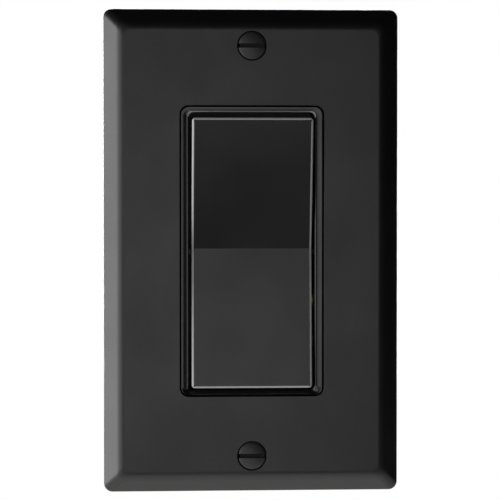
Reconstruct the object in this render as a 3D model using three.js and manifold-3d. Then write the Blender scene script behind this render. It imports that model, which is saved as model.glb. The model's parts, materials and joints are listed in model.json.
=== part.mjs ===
// A single-pole rocker wall switch with its single-gang cover plate, in millimetres, +Z up.
// The origin is the middle of the wall's surface: the plate's rim and the strap's ears lie on y = 0,
// the paddle faces -Y and the housing reaches back along +Y into the wall box.
import * as THREE from "three";
import { mergeVertices } from "three/addons/utils/BufferGeometryUtils.js";
import Module from "manifold-3d";

// ---------------------------------------------------------------- driving dimensions
const GAP = 0.3; // air between pieces that rest on each other
const SNUG = 0.1; // air round small pieces that are riveted or pressed together
const PAST = 1; // how far a cutting solid runs past the face it opens

const PLATE = {
  width: 69.85,
  height: 114.3,
  depth: 5.6,
  rim: 1.4, // height of the upright rim
  bevel: 5.2, // width of the bevel, seen from the front
  corner: 2,
  wall: 2.2,
  lip: 3.4, // width of the rim's flat back
};
const OPENING = { width: 34.1, height: 68.7, corner: 2 };
const FRAME = {
  width: 33.5,
  height: 68.1,
  face: -5.1,
  inWidth: 29.8,
  inHeight: 65.5,
  corner: 1.8,
  inCorner: 1.2,
  flange: 0.7, // how far its hidden flange reaches behind the plate
};
const STRAP = { thick: 1.3, height: 106.4, earWidth: 42, railWidth: 36, earStart: 38, corner: 3 };
const WINDOW = { width: 30.2, height: 66.8, corner: 1.5 }; // the strap's central window
const BOX_SLOT = { width: 8.2, height: 4.3, corner: 2.1 }; // the strap's slots for the box screws
const BREAK_OFF = { x: 13.2, half: 0.8, from: 46.4 }; // slits that let the corners of the ears snap off

const PLATE_SCREW_Z = 48.4; // 96.8 mm between the plate's two screws
const BOX_SCREW_Z = 41.65; // 83.3 mm between the two screws into the wall box
const SIX_32 = 1.75; // outer radius of a 6-32 thread
const EIGHT_32 = 2.1; // outer radius of an 8-32 thread
const POINT = { length: 1, share: 0.6 }; // the taper at a screw's end
const HEAD = { radius: 3.3, edge: -5.45, top: -6.1, slot: 0.52, slotDepth: 1.1, tip: 6.6 };
const SINK = { radius: 3.58, hole: 2.1 }; // the plate's countersinks
const CONE = Math.tan(THREE.MathUtils.degToRad(41)); // half of an 82 degree head
const PAN = { radius: 3.4, crown: 0.6, height: 1.6, edge: 0.5, slot: 0.5, slotDepth: 0.8, tip: 22 };
const WASHER = { size: 9, sheet: 0.8, corner: 0.8 };
const HOOK = { z: 22, half: 2, inner: 15.05, outer: 16.05, barb: 16.8, back: 1.5, room: 0.7 };

const HOUSING = {
  width: 34,
  height: 70,
  front: GAP,
  back: 24.3,
  wall: 1.8,
  endWall: 1.6,
  corner: 2,
  inCorner: 1,
};
const EAR = { from: 4.9, to: 10.2, reach: 38.6, thick: 3.6 }; // the housing's riveting ears
const LEDGE = { x: 12.7, z: 28.2 }; // corner posts that the inner cover rests on
const SIDE_WINDOW = { half: 5.5, front: 8.3, back: 18.7 }; // room for a terminal screw's head
const WIRE = { x: 8.5, hole: 1.6, clear: 1.7 }; // the push-in wire holes
const RELEASE = { x: 4.4, halfWidth: 0.7, halfHeight: 2 }; // slots that free a pushed-in wire
const RIVET = { x: 7, z: 36.9, shank: 1.1, head: 1.8, crown: 0.7, headHeight: 0.8, hole: 1.4 };
const COVER = { width: 29.6, height: 66, front: 5, thick: 1.4, slotX: 4.3, slotZ: 4.8, corner: 1 };

const TERMINAL = { z: 17, y: 13.5, plate: 1, width: 12, front: 7.2, face: 14.9, base: 21.2, strip: 10 };
const TONGUE = 2.2; // half the width of the terminals' inner strips
const BLADE = { sharp: 0.15, thick: 0.5, taper: 0.6, half: 2 }; // the ridge that the arm rocks on
const SEAT = { low: 3, high: 2.6 }; // how far the line terminal's seat reaches past its contact's middle
const SIDE_HEAD = { radius: 4.1, crown: 0.85, height: 2.2, edge: 0.5, slot: 0.6, slotDepth: 1, tip: 9.6 };
const CLIP = { sheet: 0.45, half: 3, foot: 6, bend: 2.6, front: 16.4, tongue: 6.9, bite: 19.6 };
const GROUND = {
  z: -43.75,
  half: 4.25,
  foot: -8.4,
  face: -17.2,
  sheet: 1,
  back: 11,
  screwY: 6.5,
  rivetX: -12.3,
};
const GROUND_HEAD = { radius: 4, height: 2.6, slot: 0.6, slotDepth: 1, tip: -11.5 };

const PIVOT_Y = 2; // the paddle's trunnions lie this far behind the wall's surface
const ROCK = THREE.MathUtils.degToRad(3); // the paddle rocks this far to each side of its middle
const PADDLE = { width: 28.5, height: 63.8, wall: 1.8, skirt: 0.8, creaseY: -3.9, creaseZ: 0.8 };
const PADDLE_SLOPE = THREE.MathUtils.degToRad(6.4); // each half of the V against the wall
const TRUNNION = { radius: 1.5, end: 16.6 };
const CHEEK = { front: -3, back: 2, wide: 9, waist: 5, nose: 2.2 }; // webs that carry the trunnions
const STEM = { radius: 3.5, bore: 2.2, back: 9.5, floor: 0.6, rib: 0.6 };
const PLUNGER = { radius: 1.9, shoulder: 4.5, tip: 14.1 };
const SPRING = { radius: 1.7, wire: 0.25, front: 1.1, back: 4, turns: 4, steps: 48 };

const ARM_Y = 15.3; // the see-saw arm's hinge line
const ARM_ROCK = ROCK * 1.2; // the arm rocks this far to each side of its middle
const ARM = { width: 6.4, thick: 0.8, low: -15, high: 9, front: -0.9, cheek: 4, cheekDepth: 1.6, sheet: 0.6 };
const CONTACT = { z: -13.3, radius: 2.1, bevel: 0.25, moving: 0.9, fixed: 0.9, clear: 0.2 };

const ROUND = 28; // facets round a hole, head or shank
const SMALL_ROUND = 24; // facets round a rivet, contact or plunger
const ARC_STEPS = 3; // segments in a quarter turn of a rounded corner
const BEVEL_STEPS = 6; // segments in the plate's bevel

// ---------------------------------------------------------------- solids from geometries
const wasm = await Module();
wasm.setup();

// A closed geometry as a solid with its faces pointing out.
function solid(geometry) {
  const bare = geometry.index ? geometry.toNonIndexed() : geometry.clone();
  bare.deleteAttribute("normal");
  bare.deleteAttribute("uv");
  const merged = mergeVertices(bare, 1e-4);
  const triVerts = new Uint32Array(merged.index.array);
  const vertProperties = merged.attributes.position.array;
  const made = new wasm.Manifold(new wasm.Mesh({ numProp: 3, vertProperties, triVerts }));
  if (made.volume() > 0) return made;
  for (let i = 0; i < triVerts.length; i += 3) {
    [triVerts[i + 1], triVerts[i + 2]] = [triVerts[i + 2], triVerts[i + 1]];
  }
  return new wasm.Manifold(new wasm.Mesh({ numProp: 3, vertProperties, triVerts }));
}

const union = (solids) => solids.reduce((whole, piece) => whole.add(piece));
const cut = (body, tools) => body.subtract(union(tools));
const span = (a, b) => [Math.min(a, b), Math.max(a, b)];
const about = (middle, half) => [middle - half, middle + half];

// A box from its lowest to its highest corner.
function block([x0, x1], [y0, y1], [z0, z1]) {
  const box = new THREE.BoxGeometry(x1 - x0, y1 - y0, z1 - z0);
  return solid(box.translate((x0 + x1) / 2, (y0 + y1) / 2, (z0 + z1) / 2));
}

function roundedRect(width, height, radius) {
  const x = width / 2 - radius;
  const z = height / 2 - radius;
  const shape = new THREE.Shape();
  shape.absarc(x, z, radius, 0, Math.PI / 2);
  shape.absarc(-x, z, radius, Math.PI / 2, Math.PI);
  shape.absarc(-x, -z, radius, Math.PI, Math.PI * 1.5);
  shape.absarc(x, -z, radius, Math.PI * 1.5, Math.PI * 2);
  return shape;
}

function polygon(points) {
  return new THREE.Shape(points.map(([u, v]) => new THREE.Vector2(u, v)));
}

// A shape drawn in X and Z, standing from y = front to y = back.
function slab(shape, front, back) {
  const settings = { depth: back - front, bevelEnabled: false, curveSegments: ARC_STEPS };
  const raw = new THREE.ExtrudeGeometry(shape, settings);
  return solid(raw.rotateX(Math.PI / 2).translate(0, back, 0));
}

// A shape drawn in Y and Z, standing from x = left to x = right.
function bar(shape, left, right) {
  const raw = new THREE.ExtrudeGeometry(shape, { depth: right - left, bevelEnabled: false });
  const turn = new THREE.Matrix4().makeBasis(
    new THREE.Vector3(0, 1, 0),
    new THREE.Vector3(0, 0, 1),
    new THREE.Vector3(1, 0, 0),
  );
  return solid(raw.applyMatrix4(turn).translate(left, 0, 0));
}

// A shape drawn in X and Y, standing from z = low to z = high.
function post(shape, low, high) {
  const raw = new THREE.ExtrudeGeometry(shape, { depth: high - low, bevelEnabled: false });
  return solid(raw.translate(0, 0, low));
}

// A round body about a line along Y or X: the profile's points are [radius, place along the line].
function turned(profile, axis, [x, y, z], facets = ROUND) {
  const points = profile.map(([radius, along]) => new THREE.Vector2(radius, along));
  const raw = new THREE.LatheGeometry(points, facets);
  if (axis === "x") raw.rotateZ(-Math.PI / 2);
  return solid(raw.translate(x, y, z));
}

function rod(radius, from, to, axis, centre, facets = ROUND) {
  return turned([[0, from], [radius, from], [radius, to], [0, to]], axis, centre, facets);
}

// ---------------------------------------------------------------- the scene graph
const rocker_switch = new THREE.Group();
rocker_switch.name = "rocker_switch";

const FINISH = {
  plastic: { color: 0x2c2c2d, roughness: 0.5, metalness: 0 },
  paddle: { color: 0x2b2b2c, roughness: 0.42, metalness: 0 },
  housing: { color: 0x33302d, roughness: 0.65, metalness: 0 },
  blackened: { color: 0x202021, roughness: 0.35, metalness: 0.3 },
  zinc: { color: 0xa9acae, roughness: 0.35, metalness: 1 },
  brass: { color: 0xb8924a, roughness: 0.3, metalness: 1 },
  silver: { color: 0xd2d0cb, roughness: 0.25, metalness: 1 },
  spring_steel: { color: 0x8c8e90, roughness: 0.3, metalness: 1 },
  green: { color: 0x2f7a45, roughness: 0.4, metalness: 0.4 },
  fibre: { color: 0x8a5a3a, roughness: 0.8, metalness: 0 },
};

function add(name, body, finish, group = rocker_switch) {
  const made = body.getMesh();
  const count = made.numVert;
  const places = new Float32Array(count * 3);
  for (let i = 0; i < count; i++) {
    places.set(made.vertProperties.subarray(i * made.numProp, i * made.numProp + 3), i * 3);
  }
  const geometry = new THREE.BufferGeometry();
  geometry.setAttribute("position", new THREE.BufferAttribute(places, 3));
  geometry.setIndex(new THREE.BufferAttribute(new Uint32Array(made.triVerts), 1));
  geometry.computeVertexNormals();
  const mesh = new THREE.Mesh(geometry, new THREE.MeshStandardMaterial(FINISH[finish]));
  mesh.name = name;
  group.add(mesh);
}

const UP_DOWN = [["upper", 1], ["lower", -1]];
const LEFT_RIGHT = [["left", -1], ["right", 1]];

// ---------------------------------------------------------------- cover plate and its screws
// Half of the plate's section: up the rim, round the bevel and to the middle of the face.
function plateSection(halfSpan) {
  const rise = PLATE.depth - PLATE.rim;
  const edge = [];
  for (let i = 0; i <= BEVEL_STEPS; i++) {
    const angle = (Math.PI / 2) * (i / BEVEL_STEPS);
    const inset = PLATE.bevel * (1 - Math.cos(angle));
    edge.push([halfSpan - inset, -PLATE.rim - rise * Math.sin(angle)]);
  }
  const right = [[halfSpan, 0], ...edge];
  const left = right.map(([across, y]) => [-across, y]).reverse();
  return [...right, ...left];
}

// A countersunk screw hole, cut from in front of the face to the wall's surface.
function countersink(z) {
  const front = -PLATE.depth - PAST;
  const neck = -PLATE.depth + (SINK.radius - SINK.hole) / CONE;
  const mouth = SINK.radius + PAST * CONE;
  return turned([[0, front], [mouth, front], [SINK.hole, neck], [SINK.hole, 0], [0, 0]], "y", [0, 0, z]);
}

function wallPlate() {
  const across = post(polygon(plateSection(PLATE.width / 2)), -PLATE.height / 2, PLATE.height / 2);
  const upright = plateSection(PLATE.height / 2).map(([z, y]) => [y, z]);
  const along = bar(polygon(upright), -PLATE.width / 2, PLATE.width / 2);
  const rimmed = slab(roundedRect(PLATE.width, PLATE.height, PLATE.corner), -PLATE.depth, 0);
  const inside = slab(
    roundedRect(PLATE.width - 2 * PLATE.lip, PLATE.height - 2 * PLATE.lip, PLATE.corner),
    -PLATE.depth + PLATE.wall,
    PAST,
  );
  const opening = slab(roundedRect(OPENING.width, OPENING.height, OPENING.corner), -PLATE.depth - PAST, PAST);
  const sinks = UP_DOWN.map(([, side]) => countersink(side * PLATE_SCREW_Z));
  return cut(across.intersect(along).intersect(rimmed), [inside, opening, ...sinks]);
}

// The tapered end of a screw, from its shank's full radius to its tip.
function point(radius, tip, inward) {
  return [[radius, tip - inward * POINT.length], [radius * POINT.share, tip], [0, tip]];
}

// The slot of a screw that faces the user, across its head from left to right.
function frontSlot(head, top, z) {
  const x = about(0, head.radius + PAST);
  return block(x, [top - PAST, top + head.slotDepth], about(z, head.slot));
}

function plateScrew(z) {
  const dome = (radius) => HEAD.edge + (HEAD.top - HEAD.edge) * (1 - (radius / HEAD.radius) ** 2);
  const rounds = [0, 0.36, 0.67, 1].map((share) => [share * HEAD.radius, dome(share * HEAD.radius)]);
  const neck = HEAD.edge + (HEAD.radius - SIX_32) / CONE;
  const profile = [...rounds, [SIX_32, neck], ...point(SIX_32, HEAD.tip, 1)];
  return cut(turned(profile, "y", [0, 0, z]), [frontSlot(HEAD, HEAD.top, z)]);
}

add("wall_plate", wallPlate(), "plastic");
for (const [where, side] of UP_DOWN) {
  add("plate_screw_" + where, plateScrew(side * PLATE_SCREW_Z), "blackened");
}

// ---------------------------------------------------------------- bezel frame round the paddle
function bezelFrame() {
  const back = -STRAP.thick - GAP;
  const collar = slab(roundedRect(FRAME.width, FRAME.height, FRAME.corner), FRAME.face, back);
  const reach = 2 * FRAME.flange;
  const flangeShape = roundedRect(FRAME.width + reach, FRAME.height + reach, FRAME.corner + FRAME.flange);
  const flange = slab(flangeShape, -PLATE.depth + PLATE.wall + GAP, back);
  const insideShape = roundedRect(FRAME.inWidth, FRAME.inHeight, FRAME.inCorner);
  const inside = slab(insideShape, FRAME.face - PAST, back + PAST);
  const hooks = [];
  for (const [, side] of LEFT_RIGHT) {
    for (const [, end] of UP_DOWN) {
      const profile = [
        [HOOK.inner, back - PAST],
        [HOOK.outer, back - PAST],
        [HOOK.outer, GAP],
        [HOOK.barb, GAP],
        [HOOK.outer, HOOK.back],
        [HOOK.inner, HOOK.back],
      ];
      hooks.push(post(polygon(profile.map(([x, y]) => [side * x, y])), ...about(end * HOOK.z, HOOK.half)));
    }
  }
  return union([collar.add(flange).subtract(inside), ...hooks]);
}

add("bezel_frame", bezelFrame(), "plastic");

// ---------------------------------------------------------------- mounting strap
// Room for one of the frame's hooks, from y = front to y = back.
function hookNotches(front, back, outer) {
  const notches = [];
  for (const [, side] of LEFT_RIGHT) {
    for (const [, end] of UP_DOWN) {
      const x = span(side * (HOOK.inner - PAST), side * outer);
      notches.push(block(x, [front, back], about(end * HOOK.z, HOOK.half + GAP)));
    }
  }
  return notches;
}

function mountingStrap() {
  const front = -STRAP.thick;
  const earHeight = STRAP.height / 2 - STRAP.earStart;
  const railHeight = 2 * (STRAP.earStart + STRAP.corner);
  const rails = slab(roundedRect(STRAP.railWidth, railHeight, STRAP.corner), front, 0);
  const ears = UP_DOWN.map(([, side]) => {
    const ear = slab(roundedRect(STRAP.earWidth, earHeight, STRAP.corner), front, 0);
    return ear.translate([0, 0, side * (STRAP.earStart + earHeight / 2)]);
  });
  const tools = [slab(roundedRect(WINDOW.width, WINDOW.height, WINDOW.corner), front - PAST, PAST)];
  tools.push(...hookNotches(front - PAST, PAST, HOOK.outer + GAP));
  for (const [, end] of UP_DOWN) {
    const slot = slab(roundedRect(BOX_SLOT.width, BOX_SLOT.height, BOX_SLOT.corner), front - PAST, PAST);
    tools.push(slot.translate([0, 0, end * BOX_SCREW_Z]));
    tools.push(rod(SIX_32 + GAP, front - PAST, PAST, "y", [0, 0, end * PLATE_SCREW_Z]));
    for (const [, side] of LEFT_RIGHT) {
      const slit = about(side * BREAK_OFF.x, BREAK_OFF.half);
      const z = span(end * BREAK_OFF.from, end * (STRAP.height / 2 + PAST));
      tools.push(block(slit, [front - PAST, PAST], z));
      tools.push(rod(RIVET.hole, front - PAST, PAST, "y", [side * RIVET.x, 0, end * RIVET.z]));
    }
  }
  tools.push(rod(RIVET.hole, front - PAST, PAST, "y", [GROUND.rivetX, 0, GROUND.z]));
  return cut(union([rails, ...ears]), tools);
}

// ---------------------------------------------------------------- fasteners of the strap
function boxScrew(z) {
  const seat = -STRAP.thick - GAP;
  const top = seat - PAN.height;
  const profile = [
    [0, top],
    [PAN.radius * PAN.crown, top],
    [PAN.radius, seat - PAN.edge],
    [PAN.radius, seat],
    [SIX_32, seat],
    ...point(SIX_32, PAN.tip, 1),
  ];
  return cut(turned(profile, "y", [0, 0, z]), [frontSlot(PAN, top, z)]);
}

function retainerWasher(z) {
  const square = slab(roundedRect(WASHER.size, WASHER.size, WASHER.corner), GAP, GAP + WASHER.sheet);
  return cut(square.translate([0, 0, z]), [rod(SIX_32 + GAP, 0, GAP + WASHER.sheet + PAST, "y", [0, 0, z])]);
}

// A headed rivet whose grip runs from y = front to y = back.
function rivet(x, z, front, back) {
  const profile = [
    [0, front - RIVET.headHeight],
    [RIVET.head * RIVET.crown, front - RIVET.headHeight],
    [RIVET.head, front - RIVET.headHeight / 2],
    [RIVET.head, front],
    [RIVET.shank, front],
    [RIVET.shank, back],
    [RIVET.head, back],
    [RIVET.head, back + RIVET.headHeight],
    [0, back + RIVET.headHeight],
  ];
  return turned(profile, "y", [x, 0, z], SMALL_ROUND);
}

// ---------------------------------------------------------------- earth bracket and its screw
function groundTerminal() {
  const z = about(GROUND.z, GROUND.half);
  const foot = block([GROUND.face, GROUND.foot], [GAP, GAP + GROUND.sheet], z);
  const leg = block([GROUND.face, GROUND.face + GROUND.sheet], [GAP, GROUND.back], z);
  const through = [GROUND.face - PAST, GROUND.face + GROUND.sheet + PAST];
  return cut(foot.add(leg), [
    rod(RIVET.hole, 0, GAP + GROUND.sheet + PAST, "y", [GROUND.rivetX, 0, GROUND.z]),
    rod(SIX_32 + GAP, ...through, "x", [0, GROUND.screwY, GROUND.z]),
  ]);
}

function groundScrew() {
  const seat = GROUND.face - GAP;
  const top = seat - GROUND_HEAD.height;
  const place = [0, GROUND.screwY, GROUND.z];
  const hexagon = rod(GROUND_HEAD.radius, top, seat, "x", place, 6);
  const shank = rod(SIX_32, seat - SNUG, GROUND_HEAD.tip, "x", place);
  const slot = block(
    [top - PAST, top + GROUND_HEAD.slotDepth],
    about(GROUND.screwY, GROUND_HEAD.slot),
    about(GROUND.z, 2 * GROUND_HEAD.radius),
  );
  return cut(hexagon.add(shank), [slot]);
}

add("mounting_strap", mountingStrap(), "zinc");
for (const [where, end] of UP_DOWN) {
  add("mounting_screw_" + where, boxScrew(end * BOX_SCREW_Z), "zinc");
  add("retainer_washer_" + where, retainerWasher(end * BOX_SCREW_Z), "fibre");
  for (const [hand, side] of LEFT_RIGHT) {
    const grip = [-STRAP.thick - GAP, HOUSING.front + EAR.thick + GAP];
    add("rivet_" + where + "_" + hand, rivet(side * RIVET.x, end * RIVET.z, ...grip), "zinc");
  }
}
add("ground_terminal", groundTerminal(), "zinc");
add("ground_rivet", rivet(GROUND.rivetX, GROUND.z, -STRAP.thick - GAP, 2 * GAP + GROUND.sheet), "zinc");
add("ground_screw", groundScrew(), "green");

// ---------------------------------------------------------------- housing and its inner cover
// The terminals' window, wire hole and release slot, cut at one height.
function terminalOpenings(z, wall, floor) {
  const side = [wall - PAST, HOUSING.width / 2 + PAST];
  const through = [floor - PAST, HOUSING.back + PAST];
  return [
    block(side, [SIDE_WINDOW.front, SIDE_WINDOW.back], about(z, SIDE_WINDOW.half)),
    rod(WIRE.hole, ...through, "y", [WIRE.x, 0, z]),
    block(about(RELEASE.x, RELEASE.halfWidth), through, about(z, RELEASE.halfHeight)),
  ];
}

function rearHousing() {
  const inside = [HOUSING.width / 2 - HOUSING.wall, HOUSING.height / 2 - HOUSING.endWall];
  const floor = HOUSING.back - HOUSING.wall;
  const outline = roundedRect(HOUSING.width, HOUSING.height, HOUSING.corner);
  const inline = roundedRect(2 * inside[0], 2 * inside[1], HOUSING.inCorner);
  const shell = slab(outline, HOUSING.front, HOUSING.back);
  const hollow = slab(inline, HOUSING.front - PAST, floor);
  const ears = [];
  const posts = [];
  const tools = [];
  for (const [, side] of LEFT_RIGHT) {
    for (const [, end] of UP_DOWN) {
      const x = span(side * LEDGE.x, side * (inside[0] + SNUG));
      const z = span(end * LEDGE.z, end * (inside[1] + SNUG));
      posts.push(block(x, [COVER.front + COVER.thick + GAP, floor + SNUG], z));
      const earBack = HOUSING.front + EAR.thick;
      tools.push(rod(RIVET.hole, 0, earBack + PAST, "y", [side * RIVET.x, 0, end * RIVET.z]));
      const earX = span(side * EAR.from, side * EAR.to);
      const earZ = span(end * (inside[1] + SNUG), end * EAR.reach);
      ears.push(block(earX, [HOUSING.front, earBack], earZ));
    }
  }
  // Saddles for the paddle's trunnions, closed from the front by the strap's rails.
  const saddle = TRUNNION.radius + GAP;
  const across = HOUSING.width / 2 + PAST;
  tools.push(block(about(0, across), [-PAST, PIVOT_Y], about(0, saddle)));
  tools.push(rod(saddle, -across, across, "x", [0, PIVOT_Y, 0]));
  tools.push(...hookNotches(-PAST, HOOK.back + HOOK.room, across));
  for (const [, end] of UP_DOWN) {
    tools.push(...terminalOpenings(end * TERMINAL.z, inside[0], floor));
  }
  return cut(union([shell.subtract(hollow), ...posts, ...ears]), tools);
}

function chamberCover() {
  const back = COVER.front + COVER.thick;
  const sheet = slab(roundedRect(COVER.width, COVER.height, COVER.corner), COVER.front, back);
  const slot = roundedRect(2 * COVER.slotX, 2 * COVER.slotZ, COVER.corner);
  return cut(sheet, [slab(slot, COVER.front - PAST, back + PAST)]);
}

add("rear_housing", rearHousing(), "housing");
add("chamber_cover", chamberCover(), "housing");

// ---------------------------------------------------------------- terminals and fixed contact
const RIDGE = ARM_Y + GAP; // the blade that the arm rocks on
const ARM_BACK = ARM.front + ARM.thick; // the level arm's back face, from its hinge line
const CLOSED_Y = ARM_Y + ARM_BACK + CONTACT.moving - CONTACT.z * Math.tan(ARM_ROCK);
const FIXED_Y = CLOSED_Y + CONTACT.clear;

// The side plate, with its screw hole, and the strip along the housing's floor to the middle.
function terminalBody(end) {
  const z = end * TERMINAL.z;
  const back = TERMINAL.base + TERMINAL.plate;
  const inner = TERMINAL.face - TERMINAL.plate;
  const side = block([inner, TERMINAL.face], [TERMINAL.front, back], about(z, TERMINAL.width / 2));
  const strip = block([-TONGUE, TERMINAL.face], [TERMINAL.base, back], about(z, TERMINAL.strip / 2));
  return cut(side.add(strip), [
    rod(EIGHT_32 + GAP, inner - PAST, TERMINAL.face + PAST, "x", [0, TERMINAL.y, z]),
    rod(WIRE.clear, TERMINAL.base - PAST, back + PAST, "y", [WIRE.x, 0, z]),
  ]);
}

function loadTerminal() {
  const back = TERMINAL.base + TERMINAL.plate;
  const tongue = block(about(0, TONGUE), [TERMINAL.base, back], [-BLADE.thick, TERMINAL.z]);
  const flank = RIDGE + BLADE.taper;
  const upper = [[RIDGE, BLADE.sharp], [flank, BLADE.thick], [back, BLADE.thick]];
  const lower = upper.map(([y, z]) => [y, -z]).reverse();
  const blade = bar(polygon([...upper, ...lower]), -BLADE.half, BLADE.half);
  return union([terminalBody(1), tongue, blade]);
}

function lineTerminal() {
  const table = FIXED_Y + CONTACT.fixed + SNUG;
  const low = CONTACT.z - SEAT.low;
  const foot = [low - TERMINAL.plate, low];
  const riser = block(about(0, TONGUE), [table, TERMINAL.base + TERMINAL.plate], foot);
  const seat = block(about(0, TONGUE), [table, table + TERMINAL.plate], [foot[0], CONTACT.z + SEAT.high]);
  return union([terminalBody(-1), riser, seat]);
}

function terminalScrew(z) {
  const seat = TERMINAL.face + GAP;
  const top = seat + SIDE_HEAD.height;
  const profile = [
    ...point(EIGHT_32, SIDE_HEAD.tip, -1).reverse(),
    [EIGHT_32, seat],
    [SIDE_HEAD.radius, seat],
    [SIDE_HEAD.radius, top - SIDE_HEAD.edge],
    [SIDE_HEAD.radius * SIDE_HEAD.crown, top],
    [0, top],
  ];
  const slot = block(
    [top - SIDE_HEAD.slotDepth, top + PAST],
    about(TERMINAL.y, SIDE_HEAD.slot),
    about(z, SIDE_HEAD.radius + PAST),
  );
  return cut(turned(profile, "x", [0, TERMINAL.y, z]), [slot]);
}

// A spring strip: its foot lies on the terminal's strip and its tongue bites the pushed-in wire.
function wireClip(z) {
  const foot = TERMINAL.base - GAP;
  const inner = CLIP.bend + CLIP.sheet;
  const outline = [
    [CLIP.foot, foot],
    [CLIP.bend, foot],
    [CLIP.bend, CLIP.front],
    [inner + CLIP.sheet, CLIP.front],
    [CLIP.tongue, CLIP.bite],
    [CLIP.tongue - CLIP.sheet, CLIP.bite + CLIP.sheet],
    [inner, CLIP.front + 1.5 * CLIP.sheet],
    [inner, foot - CLIP.sheet],
    [CLIP.foot, foot - CLIP.sheet],
  ];
  return post(polygon(outline), ...about(z, CLIP.half));
}

function contactButton(front, back, z) {
  const profile = [
    [0, front],
    [CONTACT.radius - CONTACT.bevel, front],
    [CONTACT.radius, front + CONTACT.bevel],
    [CONTACT.radius, back - CONTACT.bevel],
    [CONTACT.radius - CONTACT.bevel, back],
    [0, back],
  ];
  return turned(profile, "y", [0, 0, z], SMALL_ROUND);
}

add("line_terminal", lineTerminal(), "brass");
add("load_terminal", loadTerminal(), "brass");
add("fixed_contact", contactButton(FIXED_Y, FIXED_Y + CONTACT.fixed, CONTACT.z), "silver");
for (const [side, end] of [["load", 1], ["line", -1]]) {
  add(side + "_terminal_screw", terminalScrew(end * TERMINAL.z), "brass");
  add(side + "_wire_clip", wireClip(end * TERMINAL.z), "spring_steel");
}

// ---------------------------------------------------------------- see-saw arm, hinged on the ridge
// Drawn about its hinge line with the arm level, then turned to its open position.
const arm = new THREE.Group();
arm.position.y = ARM_Y;
arm.rotation.x = -ARM_ROCK;
rocker_switch.add(arm);

function contactArm() {
  const back = ARM.front + ARM.thick;
  const half = ARM.width / 2;
  const web = block(about(0, half), [ARM.front, back], [ARM.low, ARM.high]);
  const cheeks = LEFT_RIGHT.map(([, side]) => {
    const x = span(side * (half - ARM.sheet), side * half);
    return block(x, [ARM.front, back + ARM.cheekDepth], about(0, ARM.cheek));
  });
  return union([web, ...cheeks]);
}

add("contact_arm", contactArm(), "brass", arm);
add("moving_contact", contactButton(ARM_BACK + SNUG, ARM_BACK + CONTACT.moving, CONTACT.z), "silver", arm);

// ---------------------------------------------------------------- paddle, hinged on its trunnions
// Drawn about its hinge line in its middle position, then turned so that its lower half is pressed.
const paddle = new THREE.Group();
paddle.position.y = PIVOT_Y;
paddle.rotation.x = ROCK;
rocker_switch.add(paddle);

const fromPivot = (y) => y - PIVOT_Y;

// The paddle's side view, drawn in a distance `inset` from its faces.
function paddleOutline(inset) {
  const top = PADDLE.height / 2 - inset;
  const crease = fromPivot(PADDLE.creaseY) + inset / Math.cos(PADDLE_SLOPE);
  const face = (z) => crease - Math.abs(z - PADDLE.creaseZ) * Math.tan(PADDLE_SLOPE);
  const open = fromPivot(PADDLE.skirt) + (inset ? PAST : 0);
  return polygon([[open, -top], [face(-top), -top], [crease, PADDLE.creaseZ], [face(top), top], [open, top]]);
}

// The web inside each side of the paddle that carries a trunnion.
function cheekOutline() {
  const upper = [[CHEEK.back, CHEEK.nose], [0, CHEEK.waist], [CHEEK.front, CHEEK.wide]];
  const lower = upper.map(([y, z]) => [y, -z]).reverse();
  return polygon([...lower, ...upper]);
}

function rockerPaddle() {
  const half = PADDLE.width / 2;
  const inner = half - PADDLE.wall;
  const shell = cut(bar(paddleOutline(0), -half, half), [bar(paddleOutline(PADDLE.wall), -inner, inner)]);
  const underside = fromPivot(PADDLE.creaseY) + PADDLE.wall - SNUG;
  const stem = rod(STEM.radius, underside, fromPivot(STEM.back), "y", [0, 0, 0]);
  const rib = block(about(0, inner + SNUG), [underside, 0], about(0, STEM.rib));
  const pieces = [shell, stem, rib];
  for (const [, side] of LEFT_RIGHT) {
    pieces.push(bar(cheekOutline(), ...span(side * inner, side * half)));
    pieces.push(rod(TRUNNION.radius, ...span(side * inner, side * TRUNNION.end), "x", [0, 0, 0]));
  }
  const bore = rod(STEM.bore, fromPivot(STEM.floor), fromPivot(STEM.back) + PAST, "y", [0, 0, 0]);
  return cut(union(pieces), [bore]);
}

class Helix extends THREE.Curve {
  getPoint(t) {
    const angle = 2 * Math.PI * SPRING.turns * t;
    const along = fromPivot(SPRING.front + (SPRING.back - SPRING.front) * t);
    return new THREE.Vector3(SPRING.radius * Math.cos(angle), along, SPRING.radius * Math.sin(angle));
  }
}

function detentSpring() {
  const wire = new THREE.Shape();
  wire.absarc(0, 0, SPRING.wire, 0, 2 * Math.PI);
  const settings = { extrudePath: new Helix(), steps: SPRING.steps, curveSegments: ARC_STEPS };
  return solid(new THREE.ExtrudeGeometry(wire, settings));
}

function detentPlunger() {
  const tip = fromPivot(PLUNGER.tip);
  const shoulder = fromPivot(PLUNGER.shoulder);
  const nose = [0, 15, 30, 45, 60, 75].map((degrees) => {
    const angle = THREE.MathUtils.degToRad(degrees);
    return [PLUNGER.radius * Math.cos(angle), tip - PLUNGER.radius * (1 - Math.sin(angle))];
  });
  const profile = [[0, shoulder], [PLUNGER.radius, shoulder], ...nose, [0, tip]];
  return turned(profile, "y", [0, 0, 0], SMALL_ROUND);
}

add("rocker_paddle", rockerPaddle(), "paddle", paddle);
add("detent_spring", detentSpring(), "spring_steel", paddle);
add("detent_plunger", detentPlunger(), "housing", paddle);

export default rocker_switch;
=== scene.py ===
# %% [markdown]
# # A black rocker wall switch
# The real object is a wiring device screwed to a box in the wall: a steel strap carries a moulded
# housing with the contacts behind it and a frame with one broad rocking paddle in front, and a thin
# cover plate hides all but the frame and the paddle. The engineering model fixes every size, place and
# motion, so this lesson loads it first and only dresses it: finer meshes, real edges and real finishes.

# %% Load the fixed frame
import json
import math

import bmesh
import bpy
from mathutils import Matrix, Vector
from mathutils.geometry import tessellate_polygon


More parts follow.
